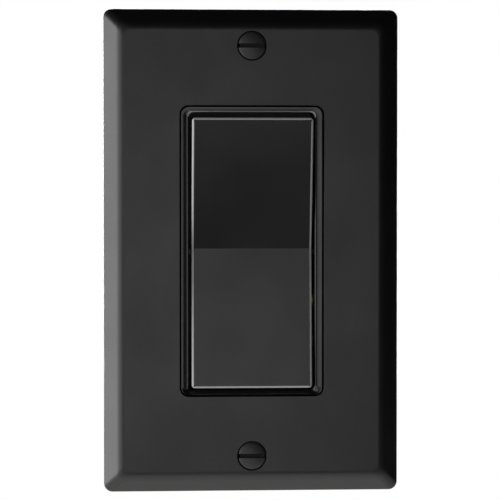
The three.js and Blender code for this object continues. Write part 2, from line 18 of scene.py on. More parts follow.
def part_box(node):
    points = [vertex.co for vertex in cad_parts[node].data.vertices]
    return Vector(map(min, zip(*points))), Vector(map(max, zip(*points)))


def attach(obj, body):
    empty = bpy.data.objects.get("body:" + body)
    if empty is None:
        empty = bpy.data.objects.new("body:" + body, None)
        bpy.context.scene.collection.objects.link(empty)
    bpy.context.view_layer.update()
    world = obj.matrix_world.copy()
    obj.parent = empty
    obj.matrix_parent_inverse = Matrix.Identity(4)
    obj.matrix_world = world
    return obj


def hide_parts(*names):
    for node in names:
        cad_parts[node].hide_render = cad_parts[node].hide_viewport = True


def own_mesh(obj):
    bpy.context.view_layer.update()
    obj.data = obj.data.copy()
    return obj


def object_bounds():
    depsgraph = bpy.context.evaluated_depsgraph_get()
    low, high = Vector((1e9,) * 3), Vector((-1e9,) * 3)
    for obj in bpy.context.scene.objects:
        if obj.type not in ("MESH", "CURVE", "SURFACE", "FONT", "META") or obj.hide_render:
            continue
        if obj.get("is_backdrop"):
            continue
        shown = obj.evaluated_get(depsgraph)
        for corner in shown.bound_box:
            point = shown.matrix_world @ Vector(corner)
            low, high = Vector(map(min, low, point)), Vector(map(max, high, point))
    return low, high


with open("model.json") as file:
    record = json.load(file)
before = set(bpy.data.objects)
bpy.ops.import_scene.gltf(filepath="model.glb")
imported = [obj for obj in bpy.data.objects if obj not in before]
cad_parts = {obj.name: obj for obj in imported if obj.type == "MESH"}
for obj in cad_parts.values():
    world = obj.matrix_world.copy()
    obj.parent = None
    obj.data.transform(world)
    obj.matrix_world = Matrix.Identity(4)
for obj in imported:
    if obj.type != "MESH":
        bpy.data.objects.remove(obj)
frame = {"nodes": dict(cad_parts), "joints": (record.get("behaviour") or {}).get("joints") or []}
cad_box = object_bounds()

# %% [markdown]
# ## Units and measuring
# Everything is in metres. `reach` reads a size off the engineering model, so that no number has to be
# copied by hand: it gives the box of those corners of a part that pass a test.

MM = 0.001


def reach(node, test=lambda point: True, place=lambda point: point):
    """Lowest and highest corner of the points of a CAD node that pass a test, each first put in place."""
    points = [place(vertex.co.copy()) for vertex in frame["nodes"][node].data.vertices]
    points = [point for point in points if test(point)]
    low = Vector([min(point[i] for point in points) for i in range(3)])
    high = Vector([max(point[i] for point in points) for i in range(3)])
    return low, high


def told(label, *values):
    print(label, *[round(value / MM, 3) for value in values], "mm")


told("CAD box from", *cad_box[0])
told("CAD box to", *cad_box[1])

# %% [markdown]
# ## Meshes from rings
# A moulded shell is a stack of closed outlines: up the rim, over the bevel, across the face, down the
# opening. Boolean cuts would leave a ragged join at every rounded edge, so the shells are lofted ring
# by ring instead, and flat areas with holes are filled between rings. That gives each edge its true
# radius and keeps the mesh closed.

# %% Meshes from rings
def rounded_ring(half_x, half_z, radius, y, arc=8, rows=()):
    """A rounded rectangle facing the user. rows are extra heights for points on its upright sides."""
    corners = [(1, 1), (-1, 1), (-1, -1), (1, -1)]
    ring = []
    for quarter, (side, end) in enumerate(corners):
        for step in range(arc + 1):
            angle = math.pi / 2 * (quarter + step / arc)
            x = side * (half_x - radius) + radius * math.cos(angle)
            z = end * (half_z - radius) + radius * math.sin(angle)
            ring.append(Vector((x, y, z)))
        if quarter in (1, 3):
            heights = sorted(rows, reverse=quarter == 1)
            ring.extend(Vector((side * half_x, y, z)) for z in heights)
    return ring


def round_ring(centre_x, centre_z, radius, y, steps=48):
    turns = [2 * math.pi * i / steps for i in range(steps)]
    return [Vector((centre_x + radius * math.cos(a), y, centre_z + radius * math.sin(a))) for a in turns]


print("a rounded outline has", len(rounded_ring(2, 1, 0.5, 0)), "points")

# %% [markdown]
# ### Joining rings and filling flats
# Two rings with as many points each are joined by quads. A flat with holes could be cut with a boolean,
# but filling it between its rings keeps their vertices, and so keeps the mesh closed.

# %% Joining rings and filling flats
def loft(mesh, rings, closed=False):
    """Quads between rings that have equally many points. Returns each ring's vertices."""
    made = [[mesh.verts.new(point) for point in ring] for ring in rings]
    pairs = list(zip(made, made[1:]))
    if closed:
        pairs.append((made[-1], made[0]))
    for below, above in pairs:
        for i in range(len(below)):
            j = (i + 1) % len(below)
            mesh.faces.new((below[i], below[j], above[j], above[i]))
    return made


def fill(mesh, outline, holes=()):
    """Covers the flat area inside one ring of vertices, leaving its holes open."""
    rings = [list(outline)] + [list(hole) for hole in holes]
    flat = [[Vector((v.co.x, v.co.z, 0)) for v in ring] for ring in rings]
    vertices = [v for ring in rings for v in ring]
    for corners in tessellate_polygon(flat):
        mesh.faces.new([vertices[i] for i in corners])

# %% [markdown]
# ### From mesh to piece
# Round walls should look smooth and real edges crisp, so shading is smooth except where two faces meet
# at more than `SHARP`. `dress` then gives a piece its finish and its place in the mechanism.

# %% From mesh to piece
SHARP = math.radians(32)


def to_object(name, mesh):
    """The mesh as an object with its faces pointing out, smooth but for its sharp edges."""
    bmesh.ops.recalc_face_normals(mesh, faces=mesh.faces)
    data = bpy.data.meshes.new(name)
    mesh.to_mesh(data)
    mesh.free()
    data.shade_smooth()
    data.set_sharp_from_angle(angle=SHARP)
    made = bpy.data.objects.new(name, data)
    bpy.context.scene.collection.objects.link(made)
    return made


def dress(piece, body, materials, replaced):
    """Gives a piece its finish, its moving body and the CAD node that it stands for."""
    for material in materials:
        piece.data.materials.append(material)
    weighted = piece.modifiers.new("face_weighted_normals", "WEIGHTED_NORMAL")
    weighted.keep_sharp = True
    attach(piece, body)
    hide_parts(*replaced)
    print(piece.name, "has", len(piece.data.polygons), "faces and rides on", body)
    return piece

# %% [markdown]
# ## Bars and joins
# Pins, hooks and ribs are short bars on a moulding's hidden side. Drawing them into the rings would
# twist the outlines, so each is a closed bar of its own that is fused to the moulding by a boolean.

# %% Bars and joins
PLACE = {"x": lambda u, v, w: (w, u, v), "y": lambda u, v, w: (u, w, v), "z": lambda u, v, w: (u, v, w)}


def capped(name, rings):
    """A closed solid from a stack of rings, with a flat cap at each end."""
    mesh = bmesh.new()
    made = loft(mesh, rings)
    mesh.faces.new(made[0])
    mesh.faces.new(made[-1])
    return to_object(name, mesh)


def circle(u, v, radius, steps=32):
    turns = [2 * math.pi * i / steps for i in range(steps)]
    return [(u + radius * math.cos(a), v + radius * math.sin(a)) for a in turns]


def bar(outline, axis, ends):
    """A closed bar along an axis, whose cross-section is an outline in the other two directions."""
    return capped("bar", [[Vector(PLACE[axis](u, v, w)) for u, v in outline] for w in ends])


def joined(part, bars, operation="UNION"):
    """The part with its bars fused to it, or cut out of it."""
    for tool in bars:
        step = part.modifiers.new(tool.name, "BOOLEAN")
        step.operation = operation
        step.object = tool
    graph = bpy.context.evaluated_depsgraph_get()
    data = bpy.data.meshes.new_from_object(part.evaluated_get(graph))
    part.modifiers.clear()
    part.data = data
    data.shade_smooth()
    data.set_sharp_from_angle(angle=SHARP)
    for tool in bars:
        bpy.data.objects.remove(tool)
    return part

# %% [markdown]
# ## Materials from nodes
# Each finish is a small node tree that starts from what the real surface is. `put` adds one node, sets
# its values and plugs in its links. `shade` starts a tree: a Principled shader, plus coordinates in
# metres, so that the scale of a pattern can be worked out from its real size.

# %% Materials from nodes
def linear(code):
    """A hex sRGB colour as linear red, green, blue and alpha."""
    parts = [int(code[i:i + 2], 16) / 255 for i in (1, 3, 5)]
    return [p / 12.92 if p <= 0.04045 else ((p + 0.055) / 1.055) ** 2.4 for p in parts] + [1.0]


def put(tree, kind, values=None, links=None):
    """Adds a node. Lower-case names in values are the node's settings, and the rest are its sockets."""
    made = tree.nodes.new(kind)
    for name, value in (values or {}).items():
        if isinstance(name, str) and name.islower():
            setattr(made, name, value)
        else:
            made.inputs[name].default_value = value
    for name, source in (links or {}).items():
        tree.links.new(source, made.inputs[name])
    return made


def shade(name, values):
    """A new material with its Principled shader. Returns the material, its tree, shader and coordinates."""
    material = bpy.data.materials.new(name)
    material.use_nodes = True
    tree = material.node_tree
    tree.nodes.clear()
    shader = put(tree, "ShaderNodeBsdfPrincipled", values)
    put(tree, "ShaderNodeOutputMaterial", links={"Surface": shader.outputs["BSDF"]})
    metres = put(tree, "ShaderNodeTexCoord").outputs["Object"]
    return material, tree, shader, metres


def per_metre(size_mm):
    """The texture scale that gives a pattern features of this size."""
    return 1 / (size_mm * MM)

# %% [markdown]
# ### A surface with grain
# Every finish on this switch has the same three things: a fine grain from its process, a colour that
# wanders a little with it, and a gloss that is uneven over a centimetre or so. `grained` builds that
# from two noises. Pulling the fine noise out along one axis turns it into rolling or turning lines.

# %% A surface with grain
CLOUD_MM = 14


def grained(name, dark, light, roughness, grain_mm, depth_mm, stretch=(1, 1, 1), fixed=None):
    """A finish whose grain is so many millimetres across and deep, stretched by a factor on each axis."""
    material, tree, shader, metres = shade(name, fixed or {})
    pulled = put(tree, "ShaderNodeMapping", {"Scale": [1 / s for s in stretch]}, {"Vector": metres})
    grain = put(tree, "ShaderNodeTexNoise", {"Scale": per_metre(grain_mm), "Detail": 3.0, "Roughness": 0.6},
                {"Vector": pulled.outputs["Vector"]})
    cloud = put(tree, "ShaderNodeTexNoise", {"Scale": per_metre(CLOUD_MM), "Detail": 2.0}, {"Vector": metres})
    mottle = put(tree, "ShaderNodeValToRGB", links={"Fac": grain.outputs["Fac"]})
    for stop, place, colour in zip(mottle.color_ramp.elements, (0.3, 0.7), (dark, light)):
        stop.position = place
        stop.color = linear(colour)
    gloss = put(tree, "ShaderNodeMapRange",
                {"From Min": 0.3, "From Max": 0.7, "To Min": roughness - 0.03, "To Max": roughness + 0.03},
                {"Value": cloud.outputs["Fac"]})
    bump = put(tree, "ShaderNodeBump", {"Distance": depth_mm * MM}, {"Height": grain.outputs["Fac"]})
    tree.links.new(mottle.outputs["Color"], shader.inputs["Base Color"])
    tree.links.new(gloss.outputs["Result"], shader.inputs["Roughness"])
    tree.links.new(bump.outputs["Normal"], shader.inputs["Normal"])
    print("finish", name, "roughness", roughness, "grain", grain_mm, "mm")
    return material

# %% [markdown]
# ### Black moulded thermoplastic
# Plate, frame and paddle are injection-moulded in a black engineering plastic. Its mould is spark
# eroded, and that leaves a fine satin grain, which spreads the highlight into a soft glow. The frame
# comes from a smoother mould than the plate. The paddle's rim and the frame's upper bead carry a painted
# highlight, a pale grey colour. Gaps and hidden seats carry painted shade, a near-black dull colour.

# %% Black moulded thermoplastic
PLASTIC = {"Metallic": 0.0, "IOR": 1.5}
SLICK = {"Metallic": 0.0, "IOR": 1.5, "Specular IOR Level": 0.35}  # muted to match the paddle's dark tone
MATT = {"Metallic": 0.0, "Specular IOR Level": 0.1}
SATIN_MM = 0.45  # the real grain is about 0.1 mm, and is drawn as coarse as it needs to show

# a soft glow over the whole face
satin_plate = grained("abs_black_spark_eroded_satin", "#0a0a0b", "#141415", 0.36, SATIN_MM, 0.010,
                      fixed=PLASTIC)
# a narrower glow, so that the dish shows as a band of light
satin_frame = grained("abs_black_smooth_moulded", "#0c0c0d", "#161617", 0.24, SATIN_MM, 0.006, fixed=PLASTIC)
# one even tone on each half of the V
satin_paddle = grained("abs_black_fine_satin", "#0d0d0e", "#171718", 0.24, SATIN_MM, 0.008, fixed=SLICK)
# a painted highlight: a pale line round the paddle
painted_highlight_edge = grained("abs_black_edge_painted_highlight", "#989898", "#aaaaaa", 0.4, SATIN_MM, 0.003, fixed=PLASTIC)
# a painted highlight: a grey line along the bead
painted_highlight_bead = grained("abs_black_bead_painted_highlight", "#8c8c8c", "#a2a2a2", 0.35, SATIN_MM, 0.003, fixed=PLASTIC)
# painted shade: near-black and dull, so that gaps stay dark
painted_shade_black = grained("abs_black_painted_shade", "#050505", "#0a0a0a", 0.9, SATIN_MM, 0.02, fixed=MATT)

# %% [markdown]
# ### Thermoset housing
# The housing is compression-moulded in a mineral-filled thermoset, which stands the heat of an arc. It
# is duller and a little warmer than the black face, and its filler shows as a faint speckle.

# %% Thermoset housing
thermoset = grained("phenolic_dark_compression_moulded", "#1d1a18", "#34302c", 0.5, 0.3, 0.012, fixed=PLASTIC)

# %% [markdown]
# ### Natural acetal and vulcanised fibre
# The plunger is moulded in undyed acetal: milky, slick and a little translucent. The washers are
# punched from vulcanised fibre, a brown sheet of pressed paper whose fibres run one way.

# %% Natural acetal and vulcanised fibre
ACETAL = {"IOR": 1.48, "Subsurface Weight": 0.3, "Subsurface Scale": 1.5 * MM}
acetal = grained("acetal_natural_moulded", "#d6d3c8", "#e6e3d9", 0.3, 0.6, 0.003, fixed=ACETAL)
fibre = grained("vulcanised_fibre_punched", "#74452a", "#9c6a45", 0.62, 0.25, 0.02, (6, 1, 1), {"IOR": 1.5})

# %% [markdown]
# ### Zinc-plated and spring steel
# Strap, rivets, box screws and earth bracket are mild steel, barrel-plated with bright zinc: a pale
# bluish metal, neither matt nor mirror, with faint rolling lines under the plating. The wire clips and
# the coil spring are bare hardened steel, darker and glossier.

# %% Zinc-plated and spring steel
METAL = {"Metallic": 1.0}
zinc = grained("steel_zinc_plated_bright", "#a9adb2", "#c9ccd0", 0.34, 0.3, 0.006, (1, 1, 8), METAL)
zinc_screw = grained("steel_zinc_plated_turned", "#9fa3a8", "#c4c7cb", 0.3, 0.2, 0.004, (6, 1, 6), METAL)
spring_steel = grained("steel_spring_hardened_bright", "#85878a", "#a6a8aa", 0.26, 0.2, 0.003,
                       (1, 1, 6), METAL)

# %% [markdown]
# ### Brass and silver
# Terminals and arm are stamped from half-hard brass strip, with rolling lines along the strip. The
# side screws are turned brass, brighter and with lines round their axis. The contact buttons are a
# silver alloy, headed and left bright.

# %% Brass and silver
brass = grained("brass_strip_stamped", "#b08c45", "#cfaa5e", 0.32, 0.25, 0.005, (1, 1, 8), METAL)
brass_screw = grained("brass_turned", "#b9923f", "#dcb561", 0.24, 0.18, 0.004, (1, 6, 6), METAL)
silver = grained("silver_alloy_headed", "#dcdad4", "#efede8", 0.22, 0.3, 0.003, (1, 1, 1), METAL)

# %% [markdown]
# ### Painted screws
# The two plate screws are painted a dull black to go unseen, and their slot floors carry painted shade,
# a duller near-black. The earth screw carries a glossy green lacquer: a clear coat over a duller base gives
# that film its shine.

# %% Painted screws
FILM = {"Metallic": 0.0, "IOR": 1.5, "Coat Weight": 0.5, "Coat Roughness": 0.15}
black_paint = grained("steel_black_painted", "#151516", "#232324", 0.5, 0.25, 0.006, fixed=PLASTIC)
green_film = grained("steel_green_coated", "#286a3c", "#38884e", 0.35, 0.25, 0.006, fixed=FILM)
UNSEEN = {"Metallic": 0.0}
# painted shade for the floor of the plate screws' slots
painted_shade_slot = grained("steel_black_slot_painted_shade", "#050505", "#0a0a0a", 0.8, 0.25, 0.02, fixed=UNSEEN)

# %% [markdown]
# ## The cover plate
# The plate is a shallow pan: an upright rim that meets the wall, a bevel at 45 degrees that softens
# into the flat face, and a hollow back. It could be cut from a block, but its look lives in that soft
# bevel, so its rings follow the bevel's true section: a small round, a straight slope and a wide arc.

# %% Measure the plate
plate_low, plate_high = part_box("wall_plate")
FACE = plate_low.y


def on_front(p):
    return p.y < FACE + 0.01 * MM


opening = reach("wall_plate", lambda p: on_front(p) and abs(p.x) < 20 * MM and abs(p.z) < 40 * MM)
sink = reach("wall_plate", lambda p: on_front(p) and abs(p.x) < 5 * MM and p.z > 40 * MM)
neck = reach("wall_plate", lambda p: p.y > FACE + 2 * MM and abs(p.x) < 5 * MM and 40 * MM < p.z < 50.4 * MM)
hollow = reach("wall_plate", lambda p: p.y > -0.5 * MM and abs(p.x) < 32 * MM and abs(p.z) < 54.5 * MM)
FLOOR = neck[0].y
HOLE_RADIUS = neck[1].x
SCREW_Z = (sink[0].z + sink[1].z) / 2
SINK_RADIUS = sink[1].x
told("plate", plate_high.x * 2, plate_high.z * 2, -FACE)
told("opening", opening[1].x * 2, opening[1].z * 2)
told("hollow", hollow[1].x * 2, hollow[1].z * 2, FLOOR)
told("screw holes", SCREW_Z, SINK_RADIUS, HOLE_RADIUS)

# %% [markdown]
# ### The section of its edge
# A bevel could be left to a modifier, but that would round both of its ends alike, and here the outer
# one is tight and the inner one wide. Steps of inset and depth can be read like a drawing instead, and
# the rings follow from them.

# %% The section of its edge
RIM_HEIGHT = 1.6 * MM
RIM_ROUND = 0.5 * MM
FACE_ROUND = 3.2 * MM
BEVEL = math.radians(45)


def arc_between(radius, start, stop, steps):
    """Across and up along an arc, between two angles in degrees."""
    angles = [math.radians(start + (stop - start) * i / steps) for i in range(steps + 1)]
    return [(radius * math.cos(a), radius * math.sin(a)) for a in angles]


def plate_section():
    """Inset from the plate's edge and depth, from the rim's back to the face."""
    cos, sin = math.cos(BEVEL), math.sin(BEVEL)
    section = [(0.12 * MM, 0.0), (0.0, -0.12 * MM), (0.0, -RIM_HEIGHT)]
    for across, up in arc_between(RIM_ROUND, 0, 45, 5)[1:]:
        section.append((RIM_ROUND - across, -RIM_HEIGHT - up))
    start = section[-1]
    length = (start[1] - FACE - FACE_ROUND * (1 - cos)) / sin
    for share in (0.25, 0.5, 0.75, 1.0):
        section.append((start[0] + length * share * cos, start[1] - length * share * sin))
    end = section[-1]
    for across, up in arc_between(FACE_ROUND, 135, 90, 10)[1:]:
        section.append((end[0] + FACE_ROUND * cos + across, end[1] + FACE_ROUND * sin - up))
    return section


def lip(radius, steps=5):
    """Offset and depth of a rounded edge, from the face down into a hole."""
    return [(radius - up, radius - across) for across, up in arc_between(radius, 0, 90, steps)]


print("the edge has", len(plate_section()), "steps")

# %% [markdown]
# ### The whole plate
# The outer rings and those of the hollow are one stack, and the opening and the two screw holes are
# three more. The flat face and its back are then filled between them. The seats under the screw heads
# get painted shade, a near-black dull colour: no light gets in there.

# %% The whole plate
PLATE_CORNER = 2.0 * MM
OPENING_CORNER = 2.1 * MM
OPENING_EDGE = 0.06 * MM
SINK_EDGE = 0.08 * MM
SINK_DEPTH = 1.62 * MM
HOLLOW_STEPS = [(0.5 * MM, FLOOR), (0.2 * MM, FLOOR + 0.3 * MM), (0.0, -0.4 * MM), (0.0, 0.0)]


def stepped(size, steps):
    """Rings round the plate, each at an inset and a depth."""
    return [rounded_ring(size.x - inset, size.z - inset, PLATE_CORNER, y) for inset, y in steps]


def screw_hole(mesh, centre_z):
    mouth = [(SINK_RADIUS - SINK_EDGE + offset, FACE + depth) for offset, depth in lip(SINK_EDGE, 3)]
    mouth += [(HOLE_RADIUS, FACE + SINK_DEPTH), (HOLE_RADIUS, FLOOR)]
    return loft(mesh, [round_ring(0, centre_z, radius, y) for radius, y in mouth])


def cover_plate():
    mesh = bmesh.new()
    shell = loft(mesh, stepped(hollow[1], HOLLOW_STEPS) + stepped(plate_high, plate_section()))
    edge = [(offset, FACE + depth) for offset, depth in lip(OPENING_EDGE)] + [(0.0, FLOOR)]
    size = opening[1]
    wall = loft(mesh, [rounded_ring(size.x + o, size.z + o, OPENING_CORNER + o, y) for o, y in edge])
    holes = [screw_hole(mesh, side * SCREW_Z) for side in (1, -1)]
    seats = {vertex for hole in holes for ring in hole[3:] for vertex in ring}
    fill(mesh, shell[-1], [wall[0], holes[0][0], holes[1][0]])
    # the seats take the second finish: painted shade
    for face in mesh.faces:
        face.material_index = int(all(vertex in seats for vertex in face.verts))
    fill(mesh, shell[0], [wall[-1], holes[0][-1], holes[1][-1]])
    return to_object("cover_plate", mesh)


dress(cover_plate(), "body", [satin_plate, painted_shade_black], ["wall_plate"])

# %% [markdown]
# ## The frame round the paddle
# The frame is a separate moulding that hooks into the strap. Its narrow face is dished: from its
# rounded outer edge it dips towards the paddle and ends in a raised bead. The dish turns its left side
# away from the light and its right side towards it, which is what tells the eye that it is there. Its
# lower bar falls away as a plain chamfer, so that a finger reaches the pressed end of the paddle.

# %% Measure the frame
collar_outer = reach("bezel_frame", lambda p: p.y < -4 * MM)
collar_inner = reach("bezel_frame", lambda p: p.y < -4 * MM and abs(p.x) < 15.5 * MM and abs(p.z) < 33.5 * MM)
flange = reach("bezel_frame", lambda p: -3.2 * MM < p.y < -3 * MM)
hook = reach("bezel_frame", lambda p: p.y > -1.5 * MM and p.x > 0 and p.z > 0)
told("frame", collar_outer[1].x * 2, collar_outer[1].z * 2, collar_outer[0].y)
told("frame inside", collar_inner[1].x * 2, collar_inner[1].z * 2)
told("flange", flange[1].x * 2, flange[1].z * 2)
told("hook", hook[0].x, hook[1].x, hook[0].z, hook[1].z, hook[1].y)

# %% [markdown]
# ### The faces of its bars
# A bar's face is a list of steps from its outer edge to its inner wall. The side bars, the top bar and
# the bottom bar have their own dip and drop, so the rings that carry them change depth at each corner.

# %% The faces of its bars
BEAD = 0.5  # width of the raised bead, in millimetres
CREST = 0.3  # the bead's crest lies this far from the frame's inner wall
OUTER_EDGE = [(0.0, 0.16), (0.015, 0.07), (0.05, 0.02), (0.1, 0.0), (0.2, 0.0)]
DISH_ROWS = 6


def bar_face(dip, drop):
    """The face of one bar: share of the way to the bead, distance from the inner wall, and depth."""
    face = [(share, BEAD, depth) for share, depth in OUTER_EDGE]
    for i in range(1, DISH_ROWS + 1):
        face.append((0.2 + 0.8 * i / DISH_ROWS, BEAD, dip * (i / DISH_ROWS) ** 1.6))
    for angle in range(0, 91, 15):
        across, down = math.sin(math.radians(angle)), 1 - math.cos(math.radians(angle))
        face.append((1.0, CREST * (1 - across), dip / 2 + CREST * down))
    return [(share, inward, depth + drop * (share + BEAD - inward)) for share, inward, depth in face]


SIDE_BAR, TOP_BAR, BOTTOM_BAR = bar_face(0.16, 0), bar_face(0.08, 0), bar_face(0, 0.6)


def framed(half_x, half_z, corner, depths):
    """A ring whose depth passes from the side bars' to the end bars' round each corner."""
    ring = rounded_ring(half_x, half_z, corner, 0, arc=10)
    for point in ring:
        share = min(max((abs(point.z) - half_z + corner) / corner, 0), 1)
        end = depths[1] if point.z > 0 else depths[2]
        point.y = collar_outer[0].y + (depths[0] + (end - depths[0]) * share) * MM
    return ring


print("each bar's face has", len(SIDE_BAR), "steps")

# %% [markdown]
# ### The whole collar
# The collar is one closed stack of rings: out round the hidden flange, over the face and down the inner
# wall. The flange lies in the shade behind the plate's opening, and that shade is painted on it as a
# near-black dull colour. Only the upper bar's bead has a painted highlight: a pale grey line.

# %% The whole collar
COLLAR_BACK = 3.5 * MM
OUTER_CORNER, INNER_CORNER = 1.8 * MM, 1.2 * MM
FLANGE_ROWS = 3
BEAD_START = FLANGE_ROWS + len(OUTER_EDGE) + DISH_ROWS
BEAD_ROWS = 5
PAINTED_HIGHLIGHT, SHADED = 1, 2


def finish_of(rows, middle):
    """Which of the frame's finishes a face has, from the rings that it lies between and its middle."""
    # the hidden flange takes painted shade
    if rows[-1] < FLANGE_ROWS:
        return SHADED
    # the upper bar's bead takes the painted highlight
    on_bead = BEAD_START <= rows[0] and rows[-1] <= BEAD_START + BEAD_ROWS
    return PAINTED_HIGHLIGHT if on_bead and middle.z > collar_inner[1].z - INNER_CORNER else 0


def bezel_frame():
    mesh = bmesh.new()
    out, inn = collar_outer[1], collar_inner[1]
    back = collar_outer[0].y + COLLAR_BACK
    proud, ledge = flange[1].x - out.x, flange[0].y
    rings = []
    for further, y in ((proud, back), (proud, ledge), (0, ledge)):
        rings.append(rounded_ring(out.x + further, out.z + further, OUTER_CORNER + further, y, arc=10))
    for steps in zip(SIDE_BAR, TOP_BAR, BOTTOM_BAR):
        share, inward = steps[0][0], steps[0][1] * MM
        halves = [i + inward + (o - i - BEAD * MM) * (1 - share) for o, i in ((out.x, inn.x), (out.z, inn.z))]
        corner = INNER_CORNER + (OUTER_CORNER - INNER_CORNER) * (1 - share)
        rings.append(framed(*halves, corner, [step[2] for step in steps]))
    rings.append(rounded_ring(inn.x, inn.z, INNER_CORNER, back, arc=10))
    made = loft(mesh, rings, closed=True)
    rows = {vertex: row for row, ring in enumerate(made) for vertex in ring}
    for face in mesh.faces:
        face.material_index = finish_of(sorted(rows[v] for v in face.verts), face.calc_center_median())
    return to_object("dished_frame", mesh)

# %% [markdown]
# ### Its hooks
# Four barbed hooks snap round the edge of the strap and hold the frame. Each is one bar.

# %% Its hooks
HOOK_WALL = 1.0 * MM
BARB_TOP = 0.3 * MM
HOOK_ROOT = 3 * MM  # behind the frame's face


def hooks():
    low, high = hook
    root, wall = collar_outer[0].y + HOOK_ROOT, low.x + HOOK_WALL
    outline = [(low.x, root), (wall, root), (wall, BARB_TOP), (high.x, BARB_TOP)]
    outline += [(wall, high.y), (low.x, high.y)]
    made = []
    for side in (-1, 1):
        for end in (-1, 1):
            made.append(bar([(side * x, y) for x, y in outline], "z", (end * low.z, end * high.z)))
    return made


collar = bezel_frame()
for material in (satin_frame, painted_highlight_bead, painted_shade_black):
    collar.data.materials.append(material)
dress(joined(collar, hooks()), "body", [], ["bezel_frame"])

# %% [markdown]
# ## The paddle
# The paddle is one moulding with a shallow V across its face, so that a finger finds either half. It
# is modelled level and then turned to its resting tilt, because only then are its ends upright and its
# V symmetric. Its edge is a small round with a painted highlight: that rim is coloured paler than the rest.

# %% Measure the paddle
rock = next(joint for joint in frame["joints"] if joint["name"] == "paddle_rock")
PIVOT = Vector(rock["pos_m"])
TILT = math.radians(rock["range_deg"][1]) / 2


def tilted(angle):
    return Matrix.Translation(PIVOT) @ Matrix.Rotation(angle, 4, "X") @ Matrix.Translation(-PIVOT)


def level(point):
    """A point of the resting paddle, moved to where it is when the paddle is level."""
    return tilted(-TILT) @ point


def on_face(p):
    return p.y < -3 * MM and abs(p.x) > 14 * MM


PADDLE_X = reach("rocker_paddle", on_face, level)[1].x
top = reach("rocker_paddle", lambda p: on_face(p) and p.z > 10 * MM, level)
bottom = reach("rocker_paddle", lambda p: on_face(p) and p.z < -10 * MM, level)
crease = reach("rocker_paddle", lambda p: on_face(p) and abs(p.z) < 5 * MM, level)
skirt = reach("rocker_paddle", lambda p: abs(p.z) > 30 * MM, level)
CREASE = Vector((0, crease[0].y, crease[0].z))
pins = reach("rocker_paddle", lambda p: p.x > PADDLE_X + 0.1 * MM, level)
stem = reach("rocker_paddle", lambda p: p.y > 5 * MM, level)
bore = reach("rocker_paddle", lambda p: p.y > 0 and math.hypot(p.x, p.z) < 3 * MM, level)
told("trunnions", pins[1].x, pins[1].z)
told("stem and bore", stem[1].x, stem[1].y, bore[1].x, bore[0].y)
told("paddle half width and ends", PADDLE_X, top[1].z, bottom[0].z, top[0].y, bottom[0].y)
told("crease", CREASE.y, CREASE.z, skirt[1].y)

# %% [markdown]
# ### Its shell
# A ring round the paddle has a point at each of a few heights. Joined across from left to right, they
# give the face rows that lie along the V, with closer rows at the crease to round it off.

# %% Its shell
EDGE = 0.5 * MM
SKIN = 1.8 * MM
PADDLE_CORNER = 0.8 * MM
PADDLE_ARC = 6
SLOPE = (CREASE.y - top[0].y) / (top[1].z - CREASE.z)
ROWS = [z * MM for z in range(-30, 31, 3)]
ROWS += [CREASE.z + step * MM for step in (-0.6, -0.3, -0.15, -0.06, 0.06, 0.15, 0.3, 0.6)]


def face_depth(z):
    """How deep the V lies at a height, with its crease rounded off a little."""
    soft = 0.08 * MM
    away = math.hypot(z - CREASE.z, soft) - soft
    return CREASE.y - away * SLOPE


def follow(ring, drop):
    return [Vector((p.x, face_depth(p.z) + drop, p.z)) for p in ring]


def cross_rows(mesh, ring):
    """Fills a paddle ring with rows that run from its left side to the same height on its right."""
    corner = PADDLE_ARC + 1
    side = (len(ring) - 4 * corner) // 2
    left = ring[corner:3 * corner + side]
    right = ring[:corner][::-1] + ring[3 * corner + side:][::-1]
    for i in range(len(left) - 1):
        quad = [left[i], left[i + 1], right[i + 1], right[i]]
        mesh.faces.new([v for k, v in enumerate(quad) if v not in quad[:k]])


def paddle():
    mesh = bmesh.new()
    half_x, half_z = PADDLE_X, top[1].z
    outside = [rounded_ring(half_x, half_z, PADDLE_CORNER, skirt[1].y, PADDLE_ARC, ROWS)]
    for offset, depth in lip(EDGE, PADDLE_ARC)[::-1]:
        ring = rounded_ring(half_x - offset, half_z - offset, PADDLE_CORNER - offset, 0, PADDLE_ARC, ROWS)
        outside.append(follow(ring, depth))
    inner = rounded_ring(half_x - SKIN, half_z - SKIN, PADDLE_CORNER / 2, 0, PADDLE_ARC, ROWS)
    inside = [follow(inner, SKIN), [Vector((p.x, skirt[1].y, p.z)) for p in inner]]
    rings = loft(mesh, inside + outside)
    cross_rows(mesh, rings[0])
    cross_rows(mesh, rings[-1])
    return to_object("paddle", mesh)


print("the face falls", round(SLOPE, 4), "along each half of the V")

# %% [markdown]
# ### Its underside
# Two cheeks carry the trunnions that the paddle turns on. A hollow stem in the middle guides the
# plunger, and a rib ties it to the sides. They are bars, and the stem's bore is cut last of all.

# %% Its underside
CHEEK = [(-1, 9), (2, 5), (4, 2.2), (4, -2.2), (2, -5), (-1, -9)]  # depth and height, in millimetres
ROOT = CREASE.y + 1.2 * MM
RIB = 0.6 * MM  # half the rib's thickness
BORE_END = 12 * MM
FINE = 48


def underside():
    inner, outer = PADDLE_X - SKIN, PADDLE_X - 0.05 * MM
    rib = [(-inner, -RIB), (inner, -RIB), (inner, RIB), (-inner, RIB)]
    cheek = [(y * MM, z * MM) for y, z in CHEEK]
    trunnion = circle(PIVOT.y, PIVOT.z, pins[1].z)
    parts = [bar(circle(0, 0, stem[1].x, FINE), "y", (ROOT, stem[1].y)), bar(rib, "y", (ROOT, PIVOT.y))]
    for side in (-1, 1):
        parts.append(bar(cheek, "x", (side * (inner + 0.05 * MM), side * outer)))
        parts.append(bar(trunnion, "x", (side * (inner + 0.5 * MM), side * pins[1].x)))
    return parts
